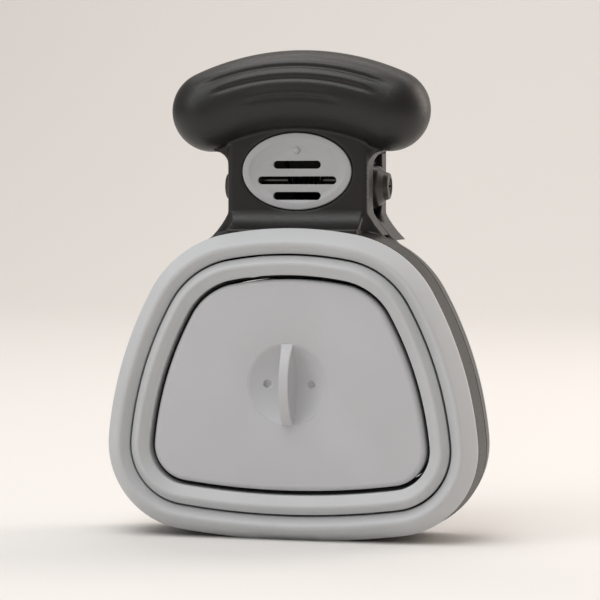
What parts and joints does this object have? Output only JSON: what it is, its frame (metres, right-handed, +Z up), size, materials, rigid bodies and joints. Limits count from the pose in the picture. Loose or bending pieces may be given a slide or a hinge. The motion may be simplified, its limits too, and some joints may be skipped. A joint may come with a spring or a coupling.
{
  "type": "folding pet waste scoop",
  "caption": "Clamshell scoop with a T-grip, squeeze lever, sprung hinge, bag store and soft bowls that pull out from folded rings; stands on its flat base",
  "frame": {"origin": "bottom centre of the standing part's box, 5.45 mm behind the plane where the two halves meet", "axes": "+Z up, +X to the right seen from the front, the front half and its slot plate towards -Y"},
  "size_m": [0.1326, 0.0575, 0.1686],
  "materials": {
    "front_housing": "fine spark-eroded texture",
    "rear_housing": "fine spark-eroded texture",
    "bag_door": "fine spark-eroded texture",
    "slot_plate": "satin moulded",
    "door_pin": "drawn wire",
    "hinge_pin": "ground",
    "pivot_cap_left": "satin moulded",
    "pivot_cap_right": "satin moulded",
    "pivot_screw_left": "black oxide",
    "pivot_screw_right": "black oxide",
    "torsion_spring": "drawn wire",
    "front_rim_ring": "soft matt elastomer",
    "front_clamp_ring": "moulded",
    "front_clamp_screws": "zinc plated",
    "front_outer_web": "soft matt elastomer",
    "front_middle_tier": "soft matt elastomer",
    "front_inner_web": "soft matt elastomer",
    "front_end_panel": "satin moulded",
    "front_pull_knob": "satin moulded",
    "front_knob_keeper": "moulded",
    "front_knob_screws": "zinc plated",
    "rear_rim_ring": "soft matt elastomer",
    "rear_clamp_ring": "moulded",
    "rear_clamp_screws": "zinc plated",
    "rear_outer_web": "soft matt elastomer",
    "rear_middle_tier": "soft matt elastomer",
    "rear_inner_web": "soft matt elastomer",
    "rear_end_panel": "satin moulded",
    "rear_pull_knob": "satin moulded",
    "rear_knob_keeper": "moulded",
    "rear_knob_screws": "zinc plated"
  },
  "bodies": {
    "front_half": {"front_housing": "front_housing", "slot_plate": "slot_plate", "door_pin": "door_pin", "hinge_pin": "hinge_pin", "pivot_cap_left": "pivot_cap_left", "pivot_cap_right": "pivot_cap_right", "pivot_screw_left": "pivot_screw_left", "pivot_screw_right": "pivot_screw_right", "torsion_spring": "torsion_spring", "front_rim_ring": "front_rim_ring", "front_clamp_ring": "front_clamp_ring", "front_clamp_screws": "front_clamp_screws", "front_outer_web": "front_outer_web"},
    "rear_half": {"rear_housing": "rear_housing", "rear_rim_ring": "rear_rim_ring", "rear_clamp_ring": "rear_clamp_ring", "rear_clamp_screws": "rear_clamp_screws", "rear_outer_web": "rear_outer_web"},
    "front_tier": {"front_middle_tier": "front_middle_tier", "front_inner_web": "front_inner_web"},
    "rear_tier": {"rear_middle_tier": "rear_middle_tier", "rear_inner_web": "rear_inner_web"},
    "front_panel": {"front_end_panel": "front_end_panel", "front_pull_knob": "front_pull_knob", "front_knob_keeper": "front_knob_keeper", "front_knob_screws": "front_knob_screws"},
    "rear_panel": {"rear_end_panel": "rear_end_panel", "rear_pull_knob": "rear_pull_knob", "rear_knob_keeper": "rear_knob_keeper", "rear_knob_screws": "rear_knob_screws"},
    "bag_door": {"bag_door": "bag_door"}
  },
  "joints": [
    {"name": "jaw_hinge", "type": "hinge", "parent": "front_half", "child": "rear_half", "pos_m": [0, 0.00955, 0.1214], "axis": [1, 0, 0], "range_deg": [0, 24], "stiffness_Nm_per_rad": 0.35, "springref_deg": -34.38, "deforming": ["torsion_spring"]},
    {"name": "bag_door_hinge", "type": "hinge", "parent": "front_half", "child": "bag_door", "pos_m": [0, 0.00235, 0.16669], "axis": [1, 0, 0], "range_deg": [0, 60]},
    {"name": "front_bowl_pull", "type": "slide", "parent": "front_half", "child": "front_panel", "axis": [0, -1, 0], "range_m": [0, 0.034], "deforming": ["front_inner_web", "front_outer_web"]},
    {"name": "front_tier_pull", "type": "slide", "parent": "front_half", "child": "front_tier", "axis": [0, -1, 0], "range_m": [0, 0.017], "deforming": ["front_outer_web", "front_inner_web"]},
    {"name": "rear_bowl_pull", "type": "slide", "parent": "rear_half", "child": "rear_panel", "axis": [0, 1, 0], "range_m": [0, 0.034], "deforming": ["rear_inner_web", "rear_outer_web"]},
    {"name": "rear_tier_pull", "type": "slide", "parent": "rear_half", "child": "rear_tier", "axis": [0, 1, 0], "range_m": [0, 0.017], "deforming": ["rear_outer_web", "rear_inner_web"]}
  ],
  "couplings": [
    {"joint": "front_tier_pull", "follows": "front_bowl_pull", "ratio": 0.5},
    {"joint": "rear_tier_pull", "follows": "rear_bowl_pull", "ratio": 0.5}
  ]
}
